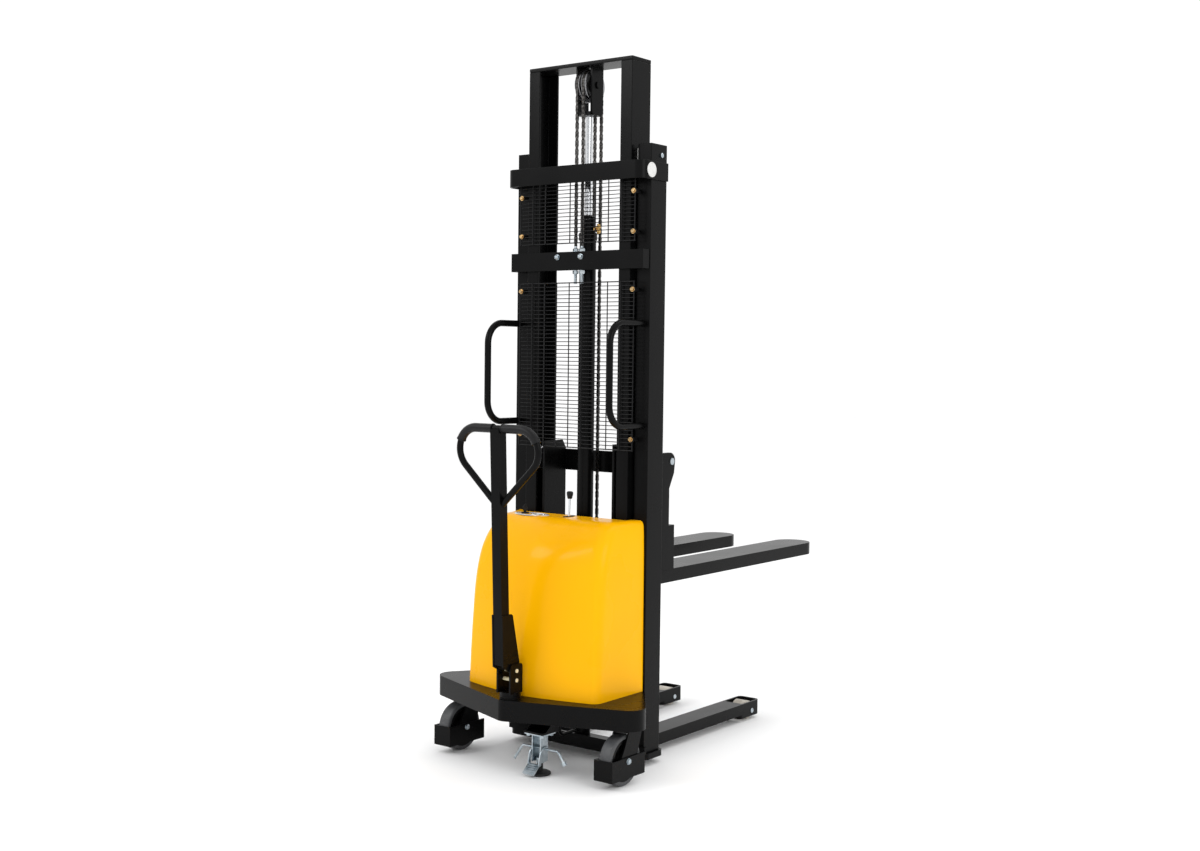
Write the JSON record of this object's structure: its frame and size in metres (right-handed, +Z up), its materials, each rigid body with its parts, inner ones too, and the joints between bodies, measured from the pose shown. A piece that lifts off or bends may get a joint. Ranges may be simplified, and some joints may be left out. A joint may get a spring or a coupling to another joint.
{
  "type": "walkie stacker",
  "caption": "Pedestrian pallet stacker with a two-stage mast, chain-lifted forks over straddle legs, steering tiller and covered battery drive unit.",
  "frame": {"origin": "on the floor, at the middle of the truck's length and width", "axes": "+Z up, +Y towards the fork tips, +X towards the right-hand side as the operator stands behind the tiller and faces the forks"},
  "size_m": [0.9398, 1.8292, 2.585],
  "materials": {
    "black_paint": "gloss",
    "yellow_paint": "gloss",
    "zinc_steel": "satin",
    "chrome": "polished",
    "brass": "satin",
    "guard_wire": "semi-gloss",
    "roller_steel": "satin",
    "grey_tread": "matt",
    "black_rubber": "matt",
    "black_plastic": "satin",
    "cream_plastic": "satin",
    "white_plastic": "satin",
    "load_roller": "satin",
    "chain_steel": "oiled",
    "battery_case": "matt",
    "pump_grey": "satin"
  },
  "bodies": {
    "frame": {"chassis_plate": "black_paint", "mast_base": "black_paint", "mast_column_left": "black_paint", "mast_column_right": "black_paint", "upper_strap": "black_paint", "mid_beam": "black_paint", "mesh_guard_upper": "guard_wire", "mesh_guard_lower": "guard_wire", "strap_caps": "white_plastic", "grab_bars": "black_paint", "lift_cylinder": "black_paint", "hydraulic_fitting": "brass", "hydraulic_pipe": "black_paint", "support_leg_left": "black_paint", "support_leg_right": "black_paint", "frame_bolts": "zinc_steel", "mast_pads": "white_plastic", "cover": "yellow_paint", "partition_plate": "black_paint", "battery": "battery_case", "power_pack": "pump_grey", "valve_block": "zinc_steel", "key_switch": "black_plastic", "battery_gauge": "chrome", "floor_lock_body": "zinc_steel"},
    "inner_mast": {"inner_column_left": "black_paint", "inner_column_right": "black_paint", "inner_cross_members": "black_paint", "crosshead": "black_paint", "piston_rod": "chrome", "chain_rear": "chain_steel", "chain_front": "chain_steel", "chain_wrap": "chain_steel"},
    "sheaves": {"chain_sheaves": "roller_steel"},
    "mast_rollers": {"mast_rollers": "roller_steel"},
    "carriage": {"carriage_frame": "black_paint", "fork_left": "black_paint", "fork_right": "black_paint", "carriage_pins": "zinc_steel"},
    "rollers_upper": {"carriage_rollers_upper": "roller_steel"},
    "rollers_lower": {"carriage_rollers_lower": "roller_steel"},
    "swivel": {"tiller_base": "black_paint", "tiller_pins": "cream_plastic"},
    "tiller": {"tiller_handle": "black_paint", "tiller_grip": "black_plastic"},
    "tie_bar": {"tie_bar": "black_paint"},
    "wheel_fork_left": {"wheel_fork_left": "black_paint"},
    "wheel_fork_right": {"wheel_fork_right": "black_paint"},
    "rear_wheel_left": {"rear_tyre_left": "grey_tread", "rear_hub_left": "black_paint"},
    "rear_wheel_right": {"rear_tyre_right": "grey_tread", "rear_hub_right": "black_paint"},
    "load_roller_left": {"load_roller_left": "load_roller"},
    "load_roller_right": {"load_roller_right": "load_roller"},
    "floor_lock_pedal": {"floor_lock_pedal": "zinc_steel"},
    "floor_lock_foot": {"floor_lock_foot": "black_rubber"},
    "lever": {"control_lever": "chrome", "control_knob": "black_plastic"},
    "key": {"key": "chrome"}
  },
  "joints": [
    {"name": "mast_lift", "type": "slide", "parent": "frame", "child": "inner_mast", "axis": [0, 0, 1], "range_m": [-0.306, 1.3], "deforming": ["chain_rear"]},
    {"name": "carriage_lift", "type": "slide", "parent": "inner_mast", "child": "carriage", "axis": [0, 0, 1], "range_m": [-0.306, 1.3], "deforming": ["chain_front"]},
    {"name": "sheave_spin", "type": "hinge", "parent": "inner_mast", "child": "sheaves", "pos_m": [0, -0.39339, 2.507], "axis": [1, 0, 0], "range_deg": [-321, 1356]},
    {"name": "mast_roller_spin", "type": "hinge", "parent": "inner_mast", "child": "mast_rollers", "pos_m": [0, -0.38139, 0.47], "axis": [1, 0, 0], "range_deg": [-1888, 446]},
    {"name": "carriage_roller_upper_spin", "type": "hinge", "parent": "carriage", "child": "rollers_upper", "pos_m": [0, -0.39739, 1.107], "axis": [1, 0, 0], "range_deg": [-1538, 363]},
    {"name": "carriage_roller_lower_spin", "type": "hinge", "parent": "carriage", "child": "rollers_lower", "pos_m": [0, -0.39739, 0.773], "axis": [1, 0, 0], "range_deg": [-1538, 363]},
    {"name": "tiller_swivel", "type": "hinge", "parent": "frame", "child": "swivel", "pos_m": [0, -0.81839, 0.3], "axis": [0, 0, 1], "range_deg": [-75, 75]},
    {"name": "tiller_tilt", "type": "hinge", "parent": "swivel", "child": "tiller", "pos_m": [0, -0.82239, 0.38], "axis": [1, 0, 0], "range_deg": [-3, 75]},
    {"name": "tie_bar_pivot", "type": "hinge", "parent": "swivel", "child": "tie_bar", "pos_m": [0, -0.78039, 0.231], "axis": [0, 0, 1], "range_deg": [-75, 75]},
    {"name": "wheel_steer_left", "type": "hinge", "parent": "frame", "child": "wheel_fork_left", "pos_m": [-0.379, -0.63039, 0.24], "axis": [0, 0, 1], "range_deg": [-75, 75]},
    {"name": "wheel_steer_right", "type": "hinge", "parent": "frame", "child": "wheel_fork_right", "pos_m": [0.379, -0.63039, 0.24], "axis": [0, 0, 1], "range_deg": [-75, 75]},
    {"name": "rear_wheel_spin_left", "type": "hinge", "parent": "wheel_fork_left", "child": "rear_wheel_left", "pos_m": [-0.379, -0.67039, 0.09], "axis": [1, 0, 0], "continuous": true},
    {"name": "rear_wheel_spin_right", "type": "hinge", "parent": "wheel_fork_right", "child": "rear_wheel_right", "pos_m": [0.379, -0.67039, 0.09], "axis": [1, 0, 0], "continuous": true},
    {"name": "load_roller_spin_left", "type": "hinge", "parent": "frame", "child": "load_roller_left", "pos_m": [-0.194, 0.44461, 0.037], "axis": [1, 0, 0], "continuous": true},
    {"name": "load_roller_spin_right", "type": "hinge", "parent": "frame", "child": "load_roller_right", "pos_m": [0.194, 0.44461, 0.037], "axis": [1, 0, 0], "continuous": true},
    {"name": "floor_lock_pedal_press", "type": "hinge", "parent": "frame", "child": "floor_lock_pedal", "pos_m": [0.08, -0.74139, 0.094], "axis": [1, 0, 0], "range_deg": [-30, 0]},
    {"name": "floor_lock_foot_lift", "type": "slide", "parent": "frame", "child": "floor_lock_foot", "axis": [0, 0, 1], "range_m": [0, 0.026]},
    {"name": "lever_tilt", "type": "hinge", "parent": "frame", "child": "lever", "pos_m": [0.016, -0.51539, 0.815], "axis": [1, 0, 0], "range_deg": [-15, 15], "stiffness_Nm_per_rad": 2},
    {"name": "key_turn", "type": "hinge", "parent": "frame", "child": "key", "pos_m": [-0.176, -0.53439, 0.905], "axis": [0, 0, 1], "range_deg": [0, 90]}
  ],
  "couplings": [
    {"joint": "carriage_lift", "follows": "mast_lift", "ratio": 1},
    {"joint": "sheave_spin", "follows": "mast_lift", "rad_per_m": 18.182},
    {"joint": "mast_roller_spin", "follows": "mast_lift", "rad_per_m": -25.316},
    {"joint": "carriage_roller_upper_spin", "follows": "mast_lift", "rad_per_m": -20.619},
    {"joint": "carriage_roller_lower_spin", "follows": "mast_lift", "rad_per_m": -20.619},
    {"joint": "tie_bar_pivot", "follows": "tiller_swivel", "ratio": -1},
    {"joint": "wheel_steer_left", "follows": "tiller_swivel", "ratio": 1},
    {"joint": "wheel_steer_right", "follows": "tiller_swivel", "ratio": 1},
    {"joint": "floor_lock_foot_lift", "follows": "floor_lock_pedal_press", "m_per_rad": -0.0477}
  ]
}
